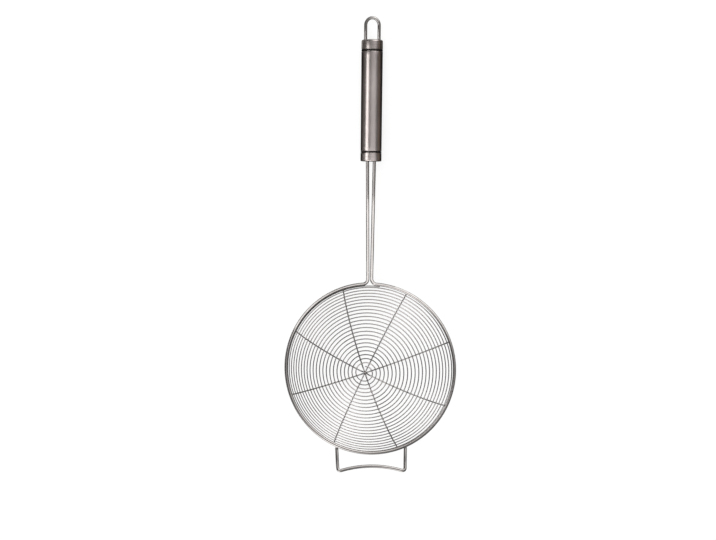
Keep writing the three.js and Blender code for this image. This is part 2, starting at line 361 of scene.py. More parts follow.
class Signal:
    """A number that varies over a surface: a socket with arithmetic."""

    def __init__(self, shop: NodeShop, socket: bpy.types.NodeSocket) -> None:
        """Keeps the socket and the shop that adds nodes to its tree."""
        self.shop = shop
        self.socket = socket

    def _math(self, operation: str, first: Any, second: Any) -> Signal:
        """Adds a Math node for two values or signals."""
        return self.shop.node("ShaderNodeMath", {"operation": operation}, {0: first, 1: second}).signal()

    def __add__(self, other: Any) -> Signal:
        """Sum."""
        return self._math("ADD", self, other)

    __radd__ = __add__

    def __mul__(self, other: Any) -> Signal:
        """Product."""
        return self._math("MULTIPLY", self, other)

    __rmul__ = __mul__

    def __sub__(self, other: Any) -> Signal:
        """Difference."""
        return self._math("SUBTRACT", self, other)

    def __rsub__(self, other: Any) -> Signal:
        """Difference from a number."""
        return self._math("SUBTRACT", other, self)

    def at_most(self, other: Any) -> Signal:
        """The smaller of two values."""
        return self._math("MINIMUM", self, other)


class MadeNode:
    """A node that was just added, ready to be linked on."""

    def __init__(self, shop: NodeShop, node: bpy.types.Node) -> None:
        """Keeps the node and its shop."""
        self.shop = shop
        self.node = node

    def signal(self, output: str | int = 0) -> Signal:
        """One output as a signal."""
        return Signal(self.shop, self.node.outputs[output])


class NodeShop:
    """Adds nodes to one node tree."""

    def __init__(self, tree: bpy.types.NodeTree) -> None:
        """Empties the tree and keeps it."""
        tree.nodes.clear()
        self.tree = tree

    def node(
        self, kind: str, settings: dict[str, Any] | None = None, inputs: dict[str | int, Any] | None = None
    ) -> MadeNode:
        """Adds one node.

        Args:
            kind: Blender's name of the node type.
            settings: properties of the node, or a ramp's stops, set first.
            inputs: values or signals for its sockets, by name or number.

        Returns:
            The node.
        """
        made = self.tree.nodes.new(kind)
        for name, value in (settings or {}).items():
            if name == "stops":
                self._set_stops(made.color_ramp, value)
            else:
                setattr(made, name, value)
        for name, value in (inputs or {}).items():
            socket = made.inputs[name]
            if isinstance(value, Signal):
                self.tree.links.new(value.socket, socket)
            else:
                socket.default_value = value
        return MadeNode(self, made)

    @staticmethod
    def _set_stops(ramp: bpy.types.ColorRamp, stops: Sequence[tuple[float, Triple]]) -> None:
        """Sets a ramp's positions and colours.

        Args:
            ramp: what is set.
            stops: a position and a colour for each stop.
        """
        while len(ramp.elements) < len(stops):
            ramp.elements.new(1.0)
        for element, (position, colour) in zip(ramp.elements, stops):
            element.position = position
            element.color = (*colour, 1.0)

    def object_place(self) -> Signal:
        """Object coordinates."""
        return self.node("ShaderNodeTexCoord").signal("Object")

    def noise(self, place: Signal, scale: float, detail: float) -> Signal:
        """A cloudy pattern on coordinates."""
        inputs = {"Vector": place, "Scale": scale, "Detail": detail}
        return self.node("ShaderNodeTexNoise", inputs=inputs).signal("Fac")

    def shades(self, tone: Signal, span: tuple[float, float], dark: Triple, light: Triple) -> Signal:
        """A colour that goes from dark to light over a span of the tone."""
        stops = list(zip(span, (dark, light)))
        return self.node("ShaderNodeValToRGB", {"stops": stops}, {"Fac": tone}).signal("Color")

    def relief(self, height: Signal, strength: float) -> Signal:
        """A normal that follows a fine relief."""
        inputs = {"Strength": strength, "Distance": BUMP_DISTANCE, "Height": height}
        return self.node("ShaderNodeBump", inputs=inputs).signal("Normal")

    def surface(self, shader: Signal) -> None:
        """Ends a material's tree."""
        self.node("ShaderNodeOutputMaterial", inputs={"Surface": shader})


def new_material(name: str) -> tuple[bpy.types.Material, NodeShop]:
    """Makes a material without nodes.

    Args:
        name: of the material.

    Returns:
        The material and the shop that adds its nodes.
    """
    material = bpy.data.materials.new(name)
    material.use_nodes = True
    return material, NodeShop(material.node_tree)


@dataclass(frozen=True)
class SteelFinish:
    """Steel with a fine grain: drawn along a wire, brushed along a tube or turned round a cap.

    The grain's and the cloud's scales are per metre, and the grain's of a wire are per millimetre.
    """

    name: str
    dark: Triple
    light: Triple
    roughness: tuple[float, float]
    lay: Lay
    grain: Triple
    cloud: float
    bump: float
    turn_degrees: float = 0.0
    edge: Triple = (0.0, 0.0, 0.0)
    span: tuple[float, float] = (0.32, 0.68)
    line_share: float = 0.6
    line_detail: float = 3.0
    cloud_detail: float = 2.0

    def make(self) -> bpy.types.Material:
        """Builds the material.

        Returns:
            Metal whose colour and roughness follow the grain.
        """
        material, shop = new_material(self.name)
        place = shop.object_place()
        base = place
        if self.lay is Lay.WIRE:
            base = shop.node("ShaderNodeAttribute", {"attribute_name": WIRE_ATTRIBUTE}).signal("Vector")
        lined = shop.node(
            "ShaderNodeMapping",
            {"vector_type": "POINT"},
            {"Vector": base, "Rotation": (math.radians(self.turn_degrees), 0, 0), "Scale": self.grain},
        ).signal()
        lines = shop.noise(lined, 1.0, self.line_detail)
        cloud = shop.noise(place, self.cloud, self.cloud_detail)
        tone = lines * self.line_share + cloud * (1 - self.line_share)
        low, high = self.roughness
        metal = shop.node(
            "ShaderNodeBsdfPrincipled",
            inputs={
                "Base Color": shop.shades(tone, self.span, self.dark, self.light),
                "Metallic": 1.0,
                "Roughness": tone * (high - low) + low,
                "Specular Tint": (*self.edge, 1.0),
                "Normal": shop.relief(lines, self.bump),
            },
        ).signal()
        shop.surface(metal)
        return material


@dataclass(frozen=True)
class RubberFinish:
    """Black rubber, slightly dusty."""

    name: str
    dark: Triple
    light: Triple
    roughness: tuple[float, float]
    shine: float
    speck: float
    bump: float = 0.15
    span: tuple[float, float] = (0.35, 0.75)
    speck_detail: float = 4.0

    def make(self) -> bpy.types.Material:
        """Builds the material.

        Returns:
            A dielectric with specks in its colour and gloss.
        """
        material, shop = new_material(self.name)
        specks = shop.noise(shop.object_place(), self.speck, self.speck_detail)
        low, high = self.roughness
        rubber = shop.node(
            "ShaderNodeBsdfPrincipled",
            inputs={
                "Base Color": shop.shades(specks, self.span, self.dark, self.light),
                "Roughness": specks * (high - low) + low,
                "Specular IOR Level": self.shine,
                "Normal": shop.relief(specks, self.bump),
            },
        ).signal()
        shop.surface(rubber)
        return material


def make_finishes(grip_tilt: float) -> dict[Slot, bpy.types.Material]:
    """Makes one material for each slot.

    Args:
        grip_tilt: of the grip as it rests, in degrees, which its grain follows.

    Returns:
        The materials by slot.
    """
    finishes: dict[Slot, SteelFinish | RubberFinish] = {
        Slot.FRAME_WIRE: SteelFinish(
            name="polished_frame_wire",
            dark=(0.28, 0.27, 0.265),
            light=(0.37, 0.36, 0.355),
            roughness=(0.09, 0.19),
            lay=Lay.WIRE,
            grain=(4.0, 4.0, 0.15),
            cloud=60.0,
            bump=0.04,
        ),
        Slot.MESH_WIRE: SteelFinish(
            name="drawn_mesh_wire",
            dark=(0.26, 0.252, 0.248),
            light=(0.36, 0.35, 0.346),
            roughness=(0.18, 0.32),
            lay=Lay.WIRE,
            grain=(8.0, 8.0, 0.2),
            cloud=80.0,
            bump=0.04,
        ),
        Slot.TUBE: SteelFinish(
            name="brushed_tube",
            dark=(0.335, 0.308, 0.299),
            light=(0.45, 0.414, 0.402),
            roughness=(0.24, 0.36),
            lay=Lay.OBJECT,
            grain=(2400.0, 25.0, 2400.0),
            cloud=45.0,
            bump=0.08,
            turn_degrees=grip_tilt,
        ),
        Slot.CAP: SteelFinish(
            name="turned_cap",
            dark=(0.265, 0.244, 0.237),
            light=(0.49, 0.45, 0.437),
            roughness=(0.22, 0.38),
            lay=Lay.OBJECT,
            grain=(40.0, 1500.0, 40.0),
            cloud=45.0,
            bump=0.25,
            turn_degrees=grip_tilt,
        ),
        Slot.RING: RubberFinish(
            name="black_rubber",
            dark=(0.006, 0.005, 0.005),
            light=(0.02, 0.016, 0.016),
            roughness=(0.45, 0.65),
            shine=0.12,
            speck=700.0,
        ),
    }
    return {slot: finish.make() for slot, finish in finishes.items()}


# The object


@dataclass
class RestPose:
    """How the level strainer lies on the table, on its ribs and the far edge of its grip."""

    tip_degrees: float = 13.892038
    shift: Triple = (0.0, -115.325737, 45.169561)

    def level(self) -> Matrix:
        """From the level frame to the rest frame."""
        tip = Matrix.Rotation(math.radians(-self.tip_degrees), 4, "X")
        return Matrix.Translation(self.shift) @ tip


@dataclass
class RimAndNeck:
    """The rim wire, whose two ends run on as the neck."""

    outer_diameter: float = 160.0
    wire: float = 3.0
    root_gap: float = 0.6
    root_bend: float = 5.0
    rise_degrees: float = 10.0
    rise_bend: float = 20.0
    neck_length: float = 106.0
    grip_spacing: float = 6.4
    insert: float = 18.0
    sides: int = 20
    rim_steps: int = 240
    bend_steps: int = 12
    leg_steps: int = 10

    @property
    def radius(self) -> float:
        """Radius of the rim's centreline."""
        return (self.outer_diameter - self.wire) / 2

    @property
    def leg_root(self) -> float:
        """Distance of a leg from the middle where it leaves the rim."""
        return (self.wire + self.root_gap) / 2

    @property
    def root_centre(self) -> Vector:
        """Middle of the bend from the rim into the right leg."""
        across = self.leg_root + self.root_bend
        return Vector((across, math.sqrt((self.radius + self.root_bend) ** 2 - across**2), 0))

    def neck(self) -> Matrix:
        """Finds where the straight neck starts.

        Returns:
            From the neck's frame, with the neck along +Y, to the level frame.
        """
        rise = math.radians(self.rise_degrees)
        ahead = self.root_centre.y + self.rise_bend * math.sin(rise)
        height = self.rise_bend * (1 - math.cos(rise))
        return Matrix.Translation((0, ahead, height)) @ Matrix.Rotation(rise, 4, "X")

    def straight_leg(self, overrun: float = 0.0) -> list[Vector]:
        """The right leg's straight part in the neck's frame.

        Args:
            overrun: length past the end of the leg.

        Returns:
            Points from the rim's side to the end in the grip.
        """
        spread = (self.grip_spacing / 2 - self.leg_root) / self.neck_length
        end = self.neck_length + self.insert + overrun
        heights = [end * step / self.leg_steps for step in range(self.leg_steps + 1)]
        return [Vector((self.leg_root + spread * height, height, 0)) for height in heights]

    def leg(self) -> list[Vector]:
        """The right leg's centreline.

        Returns:
            Points in the level frame, from the rim to the leg's end.
        """
        centre = self.root_centre
        angle = math.atan2(centre.y, centre.x)
        across = Vector((self.root_bend, 0, 0))
        up = Vector((0, self.root_bend, 0))
        root = arc_points(centre, across, up, angle - math.pi, -math.pi, self.bend_steps)
        pivot = Vector((self.leg_root, centre.y, self.rise_bend))
        down = Vector((0, 0, -self.rise_bend))
        ahead = Vector((0, self.rise_bend, 0))
        rise = arc_points(pivot, down, ahead, 0, math.radians(self.rise_degrees), self.bend_steps)
        neck = self.neck()
        return chain(root, rise, [neck @ place for place in self.straight_leg()])

    def centreline(self) -> list[Vector]:
        """The whole wire.

        Returns:
            Points from the right leg's end round the rim to the left leg's end.
        """
        right = self.leg()
        angle = math.atan2(self.root_centre.y, self.root_centre.x)
        across = Vector((self.radius, 0, 0))
        up = Vector((0, self.radius, 0))
        ring = arc_points(Vector(), across, up, angle, -math.pi - angle, self.rim_steps)
        return chain(right[::-1], ring, mirrored(right[::-1]))

    def build(self, pose: RestPose, finish: bpy.types.Material) -> bpy.types.Object:
        """Makes the wire."""
        mesh = drawn_wire(self.centreline(), self.wire, self.sides)
        return piece("rim_and_neck", mesh, pose.level(), finish, ["rim_neck_wire"])


@dataclass
class Bowl:
    """The spiral wire and the rib wires that carry it."""

    rim: RimAndNeck
    depth: float = 42.0
    spiral_wire: float = 1.0
    turns: float = 23.02
    runout_turns: float = 0.5
    start_radius: float = 6.0
    start_degrees: float = 90.0
    seat_degrees: float = 45.0
    rib_wire: float = 1.2
    rib_count: int = 4
    rib_turn_degrees: float = -4.0
    weld_gap: float = 0.3
    spiral_sides: int = 8
    rib_sides: int = 10
    chord: float = 3.2
    turn_steps: int = 40
    crossing_steps: int = 24
    sphere: float = field(init=False)
    sphere_height: float = field(init=False)
    seat_arc: float = field(init=False)
    start_arc: float = field(init=False)

    def __post_init__(self) -> None:
        """Works out the sphere that the spiral lies on."""
        reach = (self.rim.wire + self.spiral_wire) / 2 + self.weld_gap
        seat_angle = math.radians(self.seat_degrees)
        seat_radius = self.rim.radius - reach * math.cos(seat_angle)
        seat_depth = reach * math.sin(seat_angle)
        height = self.depth - seat_depth
        self.sphere = (seat_radius**2 + height**2) / (2 * height)
        self.sphere_height = self.sphere - self.depth
        self.seat_arc = self.sphere * math.atan2(seat_radius, self.sphere_height + seat_depth)
        self.start_arc = self.sphere * math.asin(self.start_radius / self.sphere)

    def on_sphere(self, radius: float, arc: float, azimuth: float) -> Vector:
        """A point of a sphere about the bowl's centre.

        Args:
            radius: of the sphere.
            arc: length from the bottom along the sphere.
            azimuth: angle about the bowl's axis.

        Returns:
            The point in the level frame.
        """
        fall = arc / radius
        reach = radius * math.sin(fall)
        height = self.sphere_height - radius * math.cos(fall)
        return Vector((reach * math.cos(azimuth), reach * math.sin(azimuth), height))

    def spiral_arc(self, turn: float) -> float:
        """Arc from the bottom at that turn of the spiral."""
        pitch = (self.seat_arc - self.start_arc) / (self.turns - self.runout_turns)
        return min(self.start_arc + pitch * turn, self.seat_arc)

    def spiral_point(self, turn: float) -> Vector:
        """Point of the spiral's centreline at that turn."""
        azimuth = math.radians(self.start_degrees) - FULL_TURN * turn
        return self.on_sphere(self.sphere, self.spiral_arc(turn), azimuth)

    def spiral_path(self) -> list[Vector]:
        """The spiral's centreline.

        Returns:
            Points from the middle outwards.
        """
        path = []
        turn = 0.0
        while turn < self.turns:
            place = self.spiral_point(turn)
            path.append(place)
            turn += 1 / max(FULL_TURN * place.xy.length / self.chord, self.turn_steps)
        path.append(self.spiral_point(self.turns))
        return path

    @property
    def rib_sphere(self) -> float:
        """Radius of the sphere that the ribs' centrelines lie on."""
        return self.sphere + (self.spiral_wire + self.rib_wire) / 2 + self.weld_gap

    @property
    def rib_end_arc(self) -> float:
        """Arc from the bottom to a rib's end below the rim."""
        rim_distance = math.hypot(self.rim.radius, self.sphere_height)
        clear = self.rim.wire / 2 + self.weld_gap
        setback = math.sqrt(clear**2 - (self.rib_sphere - self.rib_wire / 2 - rim_distance) ** 2)
        return self.rib_sphere * math.atan2(self.rim.radius, self.sphere_height) - setback

    @property
    def crossing(self) -> float:
        """Arc from the bottom within which the ribs pass over each other, inside the spiral."""
        return self.start_radius - self.spiral_wire / 2

    def rib_azimuth(self, number: int) -> float:
        """Angle of a rib wire about the bowl's axis."""
        return math.radians(self.rib_turn_degrees) + (number + 0.5) * math.pi / self.rib_count

    def rib_point(self, number: int, arc: float) -> Vector:
        """Point of a rib wire, which lies on the one before it at the crossing.

        Args:
            number: of the wire; number 1 keeps to its sphere.
            arc: length from the bottom, below zero on the wire's other half.

        Returns:
            The point in the level frame.
        """
        lift = 0.0
        if abs(arc) < self.crossing:
            level = (number - 1) * (self.rib_wire + self.weld_gap)
            lift = level * math.cos(math.pi * arc / self.crossing / 2) ** 2
        return self.on_sphere(self.rib_sphere, arc, self.rib_azimuth(number)) + Vector((0, 0, lift))

    def rib_path(self, number: int) -> list[Vector]:
        """A rib wire's centreline.

        Args:
            number: of the wire.

        Returns:
            Points from end to end.
        """
        arm = self.rib_end_arc - self.crossing
        steps = math.ceil(arm / self.chord)
        outer = [self.crossing + arm * step / steps for step in range(steps + 1)]
        shares = [2 * step / self.crossing_steps - 1 for step in range(1, self.crossing_steps)]
        inner = [self.crossing * share for share in shares]
        arcs = [-arc for arc in reversed(outer)] + inner + outer
        return [self.rib_point(number, arc) for arc in arcs]

    def build(self, pose: RestPose, finish: bpy.types.Material) -> list[bpy.types.Object]:
        """Makes the spiral and the ribs.

        Args:
            pose: how the strainer lies.
            finish: the wires' material.

        Returns:
            The objects.
        """
        spiral = drawn_wire(self.spiral_path(), self.spiral_wire, self.spiral_sides)
        made = [piece("spiral", spiral, pose.level(), finish, ["spiral_wire"])]
        for number in range(self.rib_count):
            rib = drawn_wire(self.rib_path(number), self.rib_wire, self.rib_sides)
            name = f"rib_{number + 1}"
            node = f"rib_wire_{number + 1}"
            made.append(piece(name, rib, pose.level(), finish, [node]))
        return made


@dataclass
class PotRest:
    """The bent wire that holds the strainer on the edge of a pot."""

    bowl: Bowl
    wire: float = 3.0
    rim_width: float = 63.8
    bar_width: float = 62.2
    kink_reach: float = 6.0
    kink_half: float = 1.5
    bar_reach: float = 15.5
    rise_degrees: float = 10.0
    bow: float = 5.0
    corner: float = 3.6
    sides: int = 20
    bend_steps: int = 14
    bar_steps: int = 24

    def place(self, across: float, reach: float) -> Vector:
        """A point at a distance from the rim's outer edge, along the bent legs.

        Args:
            across: distance from the middle.
            reach: from the rim's outer edge outwards.

        Returns:
            The point in the level frame.
        """
        rim = self.bowl.rim
        slope = math.radians(self.rise_degrees)
        beyond = max(reach - self.kink_reach, 0.0)
        out = rim.outer_diameter / 2 + reach - beyond * (1 - math.cos(slope))
        height = -(rim.wire + self.wire) / 2 - self.bowl.weld_gap
        return Vector((across, -out, height + beyond * math.sin(slope)))

    def bar_place(self, across: float) -> Vector:
        """A point of the bowed bar."""
        return self.place(across, self.bar_reach - self.bow * (1 - (2 * across / self.bar_width) ** 2))

    def end_reach(self) -> float:
        """Finds where a leg ends below the rim, clear of the ribs.

        Returns:
            The end's reach, which is below zero.
        """
        bowl = self.bowl
        rib_end = bowl.on_sphere(bowl.rib_sphere, bowl.rib_end_arc, 0.0).x
        clear = rib_end + bowl.rib_wire / 2 + bowl.weld_gap
        corner = (self.rim_width - self.wire) / 2
        return math.sqrt(clear**2 - corner**2) - bowl.rim.outer_diameter / 2

    def side_path(self) -> list[Vector]:
        """The right leg and its corner.

        Returns:
            Points from the rim to the bar.
        """
        start = self.end_reach()
        kink = (self.kink_reach - self.kink_half, self.kink_reach + self.kink_half)
        leg = []
        for reach in (start, *kink, self.bar_reach - self.corner):
            share = (reach - start) / (self.bar_reach - start)
            leg.append(self.place(lerp(self.rim_width, self.bar_width, share) / 2, reach))
        tip = self.bar_place(self.bar_width / 2)
        after = self.bar_place(self.bar_width / 2 - self.corner)
        corner = []
        for step in range(self.bend_steps + 1):
            share = step / self.bend_steps
            corner.append(leg[-1].lerp(tip, share).lerp(tip.lerp(after, share), share))
        return chain(leg, corner)

    def centreline(self) -> list[Vector]:
        """The whole wire.

        Returns:
            Points from leg to leg.
        """
        right = self.side_path()
        half = self.bar_width / 2 - self.corner
        shares = [step / self.bar_steps for step in range(self.bar_steps + 1)]
        bar = [self.bar_place(lerp(half, -half, share)) for share in shares]
        return chain(right, bar, mirrored(right))

    def build(self, pose: RestPose, finish: bpy.types.Material) -> bpy.types.Object:
        """Makes the wire."""
        mesh = drawn_wire(self.centreline(), self.wire, self.sides)
        return piece("pot_rest", mesh, pose.level(), finish, ["pot_rest_wire"])


@dataclass
class Grip:
    """The tube with its two caps, two rings and hanging loop, along the neck's +Y."""

    rim: RimAndNeck
    neck_diameter: float = 19.5
    end_diameter: float = 19.9
    lower_cap: float = 7.6
    lower_edge: float = 0.8
    ring_width: float = 1.4
    ring_edge: float = 0.35
    tube_length: float = 92.2
    tube_wall: float = 0.8
    tube_edge: float = 0.25
    upper_cap: float = 8.9
    upper_edge: float = 1.8
    cap_lip: float = 0.2
    spigot: float = 12.0
    loop_wire: float = 3.0
    loop_spacing: float = 12.6
    loop_projection: float = 22.0
    loop_arch: float = 7.0
    loop_insert: float = 16.0
    gap: float = 0.3
    segments: int = 128
    tube_rows: int = 24
    cap_edge_steps: int = 6
    ring_edge_steps: int = 4
    tube_edge_steps: int = 3
    wire_sides: int = 20
    arch_steps: int = 40

    @property
    def ring_space(self) -> float:
        """Room for a ring between its cap and the tube."""
        return self.gap + self.ring_width + self.gap

    @property
    def lower_seat(self) -> float:
        """Height of the lower cap's shoulder."""
        return self.rim.neck_length + self.lower_cap

    @property
    def tube_start(self) -> float:
        """Height of the tube's neck end."""
        return self.lower_seat + self.ring_space

    @property
    def tube_end(self) -> float:
        """Height of the tube's far end."""
        return self.tube_start + self.tube_length

    @property
    def upper_seat(self) -> float:
        """Height of the upper cap's shoulder."""
        return self.tube_end + self.ring_space

    @property
    def upper_face(self) -> float:
        """Height of the upper cap's end face."""
        return self.upper_seat + self.upper_cap

    def radius_at(self, height: float) -> float:
        """Outer radius of the tapered grip."""
        share = (height - self.tube_start) / self.tube_length
        return lerp(self.neck_diameter, self.end_diameter, min(max(share, 0.0), 1.0)) / 2

    def cap(self, face: float, seat: float, tip: float, edge: float) -> Mesh:
        """Turns a cap with its spigot.

        Args:
            face: height of its end face.
            seat: height of its shoulder at the ring.
            tip: height of the spigot's end.
            edge: rounding at the end face.

        Returns:
            The cap without its holes.
        """
        inward = 1.0 if seat > face else -1.0
        radius = self.radius_at(face)
        narrowest = min(self.radius_at(tip), self.radius_at(seat))
        spigot = narrowest - self.tube_wall - self.gap
        profile = [
            (0.0, face),
            *rounded_corner(radius, face, edge, inward, self.cap_edge_steps),
            (radius, seat - inward * self.cap_lip),
            (radius - self.cap_lip, seat),
            (spigot, seat),
            (spigot, tip),
            (0.0, tip),
        ]
        return turned(profile, self.segments)

    def ring(self, start: float) -> Mesh:
        """Turns a ring with slightly rounded outer edges, as thick as the tube's wall.

        Args:
            start: height of its lower face.

        Returns:
            The ring.
        """
        outer = self.radius_at(start)
        inner = outer - self.tube_wall
        end = start + self.ring_width
        profile = [
            (inner, start),
            *rounded_corner(outer, start, self.ring_edge, 1.0, self.ring_edge_steps),
            *reversed(rounded_corner(outer, end, self.ring_edge, -1.0, self.ring_edge_steps)),
            (inner, end),
            (inner, start),
        ]
        return turned(profile, self.segments)

    def tube(self) -> Mesh:
        """Turns the hollow tube with its broken edges.

        Returns:
            The tube.
        """
        start, end = self.tube_start, self.tube_end
        near, far = self.radius_at(start), self.radius_at(end)
        heights = [lerp(start, end, row / self.tube_rows) for row in range(1, self.tube_rows)]
        profile = [
            (near - self.tube_wall, start),
            *rounded_corner(near, start, self.tube_edge, 1.0, self.tube_edge_steps),
            *((self.radius_at(height), height) for height in heights),
            *reversed(rounded_corner(far, end, self.tube_edge, -1.0, self.tube_edge_steps)),
            (far - self.tube_wall, end),
            (near - self.tube_wall, start),
        ]
        return turned(profile, self.segments)

    def loop_leg(self, overrun: float = 0.0) -> list[Vector]:
        """The loop's right leg in the neck's frame.

        Args:
            overrun: length past the end of the leg.

        Returns:
            Its end in the cap and its other end at the arch.
        """
        across = self.loop_spacing / 2
        end = self.upper_face - self.loop_insert - overrun
        arch = self.upper_face + self.loop_projection - self.loop_wire / 2 - self.loop_arch
        return [Vector((across, end, 0)), Vector((across, arch, 0))]

    def loop_path(self) -> list[Vector]:
        """The loop's centreline.

        Returns:
            Points from leg to leg, in the neck's frame.
        """
        right = self.loop_leg()
        centre = Vector((0, right[-1].y, 0))
        across = Vector((self.loop_spacing / 2, 0, 0))
        up = Vector((0, self.loop_arch, 0))
        arch = arc_points(centre, across, up, 0, math.pi, self.arch_steps)
        return chain(right, arch, mirrored(right))

    def holes(self, leg: Sequence[Vector], wire: float) -> list[Mesh]:
        """Drills for a pair of wire legs."""
        width = wire + 2 * self.gap
        return [drawn_wire(path, width, self.wire_sides) for path in (leg, mirrored(leg))]

    def build(self, pose: RestPose, finishes: dict[Slot, bpy.types.Material]) -> list[bpy.types.Object]:
        """Makes the grip's pieces.

        Args:
            pose: how the strainer lies.
            finishes: the material for each slot.

        Returns:
            The objects.
        """
        place = pose.level() @ self.rim.neck()
        lower_tip = self.tube_start + self.spigot
        upper_tip = self.tube_end - self.spigot
        lower = self.cap(self.rim.neck_length, self.lower_seat, lower_tip, self.lower_edge)
        upper = self.cap(self.upper_face, self.upper_seat, upper_tip, self.upper_edge)
        lower = drilled(lower, self.holes(self.rim.straight_leg(self.gap), self.rim.wire))
        upper = drilled(upper, self.holes(self.loop_leg(self.gap), self.loop_wire))
        loop = drawn_wire(self.loop_path(), self.loop_wire, self.wire_sides)
        rows = [
            ("cap_at_neck", lower, Slot.CAP, "lower_cap"),
            ("ring_at_neck", self.ring(self.lower_seat + self.gap), Slot.RING, "lower_ring"),
            ("tube", self.tube(), Slot.TUBE, "grip_tube"),
            ("ring_at_loop", self.ring(self.tube_end + self.gap), Slot.RING, "upper_ring"),
            ("cap_at_loop", upper, Slot.CAP, "upper_cap"),
            ("loop", loop, Slot.FRAME_WIRE, "hang_loop"),
        ]
        return [piece(name, mesh, place, finishes[slot], [node]) for name, mesh, slot, node in rows]


@dataclass
class Welds:
    """Spots of weld where wires cross or end on each other.

    A bead's size is its half lengths along, across and through. A bead at the rim lies at a share of the way
    from the wire that ends there to the middle of the rim wire.
    """

    rest: PotRest
    crossing_bead: Triple = (0.62, 0.496, 0.372)
    rib_bead: Triple = (1.3, 0.75, 0.75)
    rib_share: float = 0.3
    leg_bead: Triple = (2.0, 1.3, 1.1)
    leg_share: float = 0.45
    leg_setback: float = 0.3
    runout_bead: Triple = (1.0, 0.5, 0.5)
    runout_share: float = 0.3
    runout_beads_in_turn: int = 16
    detail: int = 1

    def drop(self, mesh: Mesh, place: Vector, along: Vector, size: Triple) -> None:
        """Adds one flattened bead.

        Args:
            mesh: what it is added to.
            place: its middle.
            along: direction of its long side.
            size: its half lengths.
        """
        through = place - Vector((0, 0, self.rest.bowl.sphere_height))
        long = along.normalized()
        across = through.cross(long).normalized()
        turn = Matrix((long, across, long.cross(across))).transposed().to_4x4()
        shape = Matrix.Translation(place) @ turn @ Matrix.Diagonal((*size, 1.0))
        bmesh.ops.create_icosphere(mesh, subdivisions=self.detail, radius=1.0, matrix=shape)

    def drop_at_rim(self, mesh: Mesh, end: Vector, share: float, size: Triple) -> None:
        """Adds a bead between the end of a wire and the rim.

        Args:
            mesh: what it is added to.
            end: of the wire.
            share: of the way from there to the middle of the rim wire.
            size: the bead's half lengths.
        """
        rim_middle = Vector((end.x, end.y, 0)).normalized() * self.rest.bowl.rim.radius
        self.drop(mesh, end.lerp(rim_middle, share), Vector((-end.y, end.x, 0)), size)

    def crossing_spots(self) -> Mesh:
        """Beads where the spiral crosses the ribs.

        Returns:
            All beads in one mesh.
        """
        bowl = self.rest.bowl
        mesh = bmesh.new()
        middle = bowl.sphere + bowl.spiral_wire / 2 + bowl.weld_gap / 2
        for number in range(bowl.rib_count):
            for half in (0.0, math.pi):
                azimuth = bowl.rib_azimuth(number) + half
                turn = ((math.radians(bowl.start_degrees) - azimuth) / FULL_TURN) % 1.0
                while turn < bowl.turns:
                    arc = bowl.spiral_arc(turn)
                    place = bowl.on_sphere(middle, arc, azimuth)
                    outward = bowl.on_sphere(middle, arc + bowl.spiral_wire, azimuth) - place
                    self.drop(mesh, place, outward, self.crossing_bead)
                    turn += 1.0
        return mesh

    def rim_spots(self) -> Mesh:
        """Beads where ribs, spiral and pot rest meet the rim.

        Returns:
            All beads in one mesh.
        """
        rest, bowl = self.rest, self.rest.bowl
        mesh = bmesh.new()
        for number in range(bowl.rib_count):
            for side in (1.0, -1.0):
                end = bowl.rib_point(number, side * bowl.rib_end_arc)
                self.drop_at_rim(mesh, end, self.rib_share, self.rib_bead)
        for side in (1.0, -1.0):
            end = rest.place(side * rest.rim_width / 2, rest.end_reach() + self.leg_setback)
            self.drop_at_rim(mesh, end, self.leg_share, self.leg_bead)
        turn = bowl.turns - bowl.runout_turns
        while turn < bowl.turns:
            self.drop_at_rim(mesh, bowl.spiral_point(turn), self.runout_share, self.runout_bead)
            turn += 1 / self.runout_beads_in_turn
        return mesh

    def build(self, pose: RestPose, finish: bpy.types.Material) -> list[bpy.types.Object]:
        """Makes the two groups of beads.

        Args:
            pose: how the strainer lies.
            finish: the beads' material.

        Returns:
            The objects.
        """
        return [
            piece("crossing_welds", self.crossing_spots(), pose.level(), finish),
            piece("rim_welds", self.rim_spots(), pose.level(), finish),
        ]


# The studio


@dataclass
class View:
    """The photograph's viewpoint, in the rest frame and in millimetres."""

    rim_centre: Vector
    azimuth_degrees: float = 144.454
    elevation_degrees: float = 81.477
    roll_degrees: float = 1.100
    aside: float = -11.713
    along: float = 90.593
    distance: float = 2000.0
    focal_pixels: float = 2162.737

    def matrix(self) -> Matrix:
        """Place of the camera, in metres.

        Returns:
            The camera's matrix, looking along its own -Z.
        """
        around = math.radians(self.azimuth_degrees)
        above = math.radians(self.elevation_degrees)
        flat = math.cos(above)
        back = Vector((flat * math.cos(around), flat * math.sin(around), math.sin(above)))
        right = Vector((0, 1, 0)).cross(back).normalized()
        up = back.cross(right)
        roll = Matrix.Rotation(math.radians(self.roll_degrees), 3, "Z")
        turn = Matrix((right, up, back)).transposed() @ roll
        target = self.rim_centre + turn @ Vector((self.aside, self.along, 0))
        eye = (target + back * self.distance) * MILLIMETRE
        return Matrix.Translation(eye) @ turn.to_4x4()


def only_reflected(thing: bpy.types.Object) -> None:
    """Lets a thing of the studio show in reflections alone."""
    for rays in ("camera", "diffuse", "transmission", "shadow"):
        setattr(thing, f"visible_{rays}", False)


